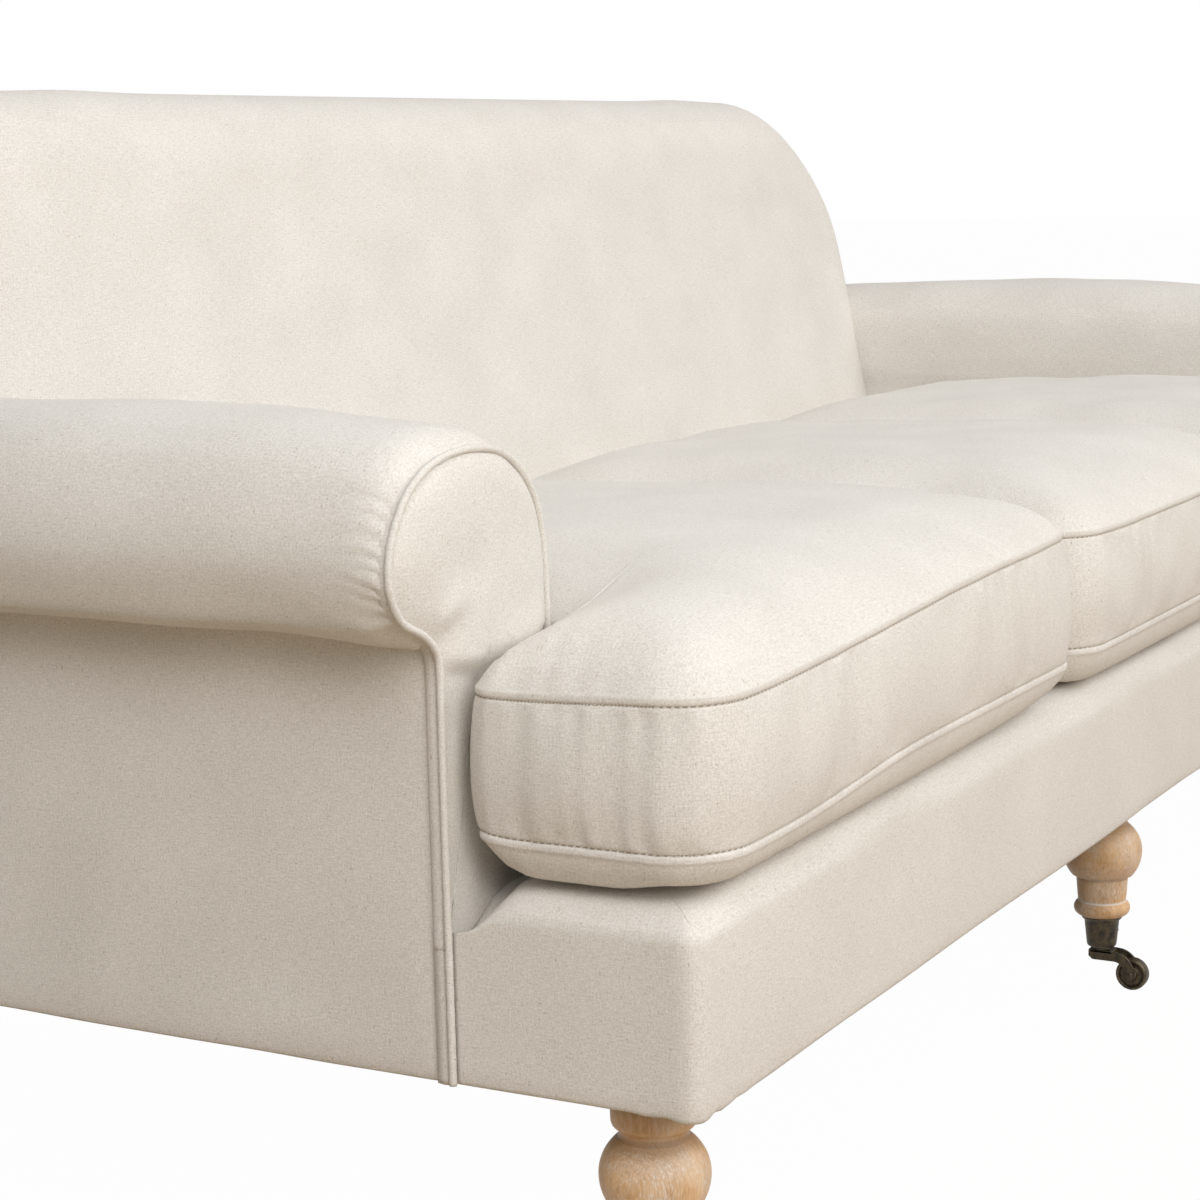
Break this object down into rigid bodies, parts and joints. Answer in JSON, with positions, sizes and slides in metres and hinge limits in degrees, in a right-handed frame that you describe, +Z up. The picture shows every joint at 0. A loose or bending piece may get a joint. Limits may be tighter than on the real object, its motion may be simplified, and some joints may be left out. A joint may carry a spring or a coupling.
{
  "type": "roll-arm sofa",
  "caption": "Roll-arm sofa with a tight leaning back, piped arm fronts, loose seat cushions with T-shaped ends, turned front legs on cup casters and square rear legs.",
  "frame": {"origin": "on the floor, below the middle of the sofa's overall width and depth", "axes": "+X along the seat to the right as seen from the front, +Y to the rear, +Z up"},
  "size_m": [2.1926, 0.947, 0.91],
  "materials": {
    "cover_fabric": "matte",
    "frame_timber": "matte",
    "limed_oak": "satin",
    "aged_brass": "satin",
    "steel": "satin",
    "webbing": "matte",
    "cambric": "matte",
    "foam": "matte"
  },
  "bodies": {
    "sofa": {"seat_deck": "cover_fabric", "front_border": "cover_fabric", "back_pad": "cover_fabric", "outside_back": "cover_fabric", "border_return_left": "cover_fabric", "border_return_right": "cover_fabric", "arm_facing_left": "cover_fabric", "arm_facing_right": "cover_fabric", "arm_piping_left": "cover_fabric", "arm_piping_right": "cover_fabric", "arm_roll_left": "cover_fabric", "arm_roll_right": "cover_fabric", "inside_arm_left": "cover_fabric", "inside_arm_right": "cover_fabric", "outside_arm_left": "cover_fabric", "outside_arm_right": "cover_fabric", "front_rail": "frame_timber", "back_rail": "frame_timber", "end_rail_left": "frame_timber", "end_rail_right": "frame_timber", "seat_stretchers": "frame_timber", "leg_blocks": "frame_timber", "back_post_left": "frame_timber", "back_post_centre": "frame_timber", "back_post_right": "frame_timber", "back_top_rail": "frame_timber", "back_lower_rail": "frame_timber", "arm_stump_left": "frame_timber", "arm_stump_right": "frame_timber", "arm_top_rail_left": "frame_timber", "arm_top_rail_right": "frame_timber", "arm_stay_rails": "frame_timber", "front_leg_left": "limed_oak", "front_leg_centre": "limed_oak", "front_leg_right": "limed_oak", "rear_leg_left": "limed_oak", "rear_leg_centre": "limed_oak", "rear_leg_right": "limed_oak", "caster_cup_left": "aged_brass", "caster_cup_centre": "aged_brass", "caster_cup_right": "aged_brass", "seat_springs": "steel", "leg_bolts": "steel", "back_webbing": "webbing", "dust_cover": "cambric"},
    "caster_left": {"caster_fork_left": "aged_brass", "caster_axle_left": "aged_brass"},
    "wheel_left": {"caster_wheel_left": "aged_brass"},
    "cushion_left": {"seat_cushion_left": "cover_fabric", "cushion_core_left": "foam"},
    "caster_centre": {"caster_fork_centre": "aged_brass", "caster_axle_centre": "aged_brass"},
    "wheel_centre": {"caster_wheel_centre": "aged_brass"},
    "cushion_centre": {"seat_cushion_centre": "cover_fabric", "cushion_core_centre": "foam"},
    "caster_right": {"caster_fork_right": "aged_brass", "caster_axle_right": "aged_brass"},
    "wheel_right": {"caster_wheel_right": "aged_brass"},
    "cushion_right": {"seat_cushion_right": "cover_fabric", "cushion_core_right": "foam"}
  },
  "joints": [
    {"name": "caster_swivel_left", "type": "hinge", "parent": "sofa", "child": "caster_left", "pos_m": [-0.9655, -0.3878, 0.04], "axis": [0, 0, 1], "continuous": true},
    {"name": "wheel_spin_left", "type": "hinge", "parent": "caster_left", "child": "wheel_left", "pos_m": [-0.9655, -0.4202, 0.016], "axis": [1, 0, 0], "continuous": true},
    {"name": "cushion_lift_left", "type": "slide", "parent": "sofa", "child": "cushion_left", "axis": [0, 0, 1], "range_m": [0, 0.25]},
    {"name": "caster_swivel_centre", "type": "hinge", "parent": "sofa", "child": "caster_centre", "pos_m": [0, -0.3878, 0.04], "axis": [0, 0, 1], "continuous": true},
    {"name": "wheel_spin_centre", "type": "hinge", "parent": "caster_centre", "child": "wheel_centre", "pos_m": [0, -0.4202, 0.016], "axis": [1, 0, 0], "continuous": true},
    {"name": "cushion_lift_centre", "type": "slide", "parent": "sofa", "child": "cushion_centre", "axis": [0, 0, 1], "range_m": [0, 0.25]},
    {"name": "caster_swivel_right", "type": "hinge", "parent": "sofa", "child": "caster_right", "pos_m": [0.9655, -0.3878, 0.04], "axis": [0, 0, 1], "continuous": true},
    {"name": "wheel_spin_right", "type": "hinge", "parent": "caster_right", "child": "wheel_right", "pos_m": [0.9655, -0.4202, 0.016], "axis": [1, 0, 0], "continuous": true},
    {"name": "cushion_lift_right", "type": "slide", "parent": "sofa", "child": "cushion_right", "axis": [0, 0, 1], "range_m": [0, 0.25]}
  ]
}
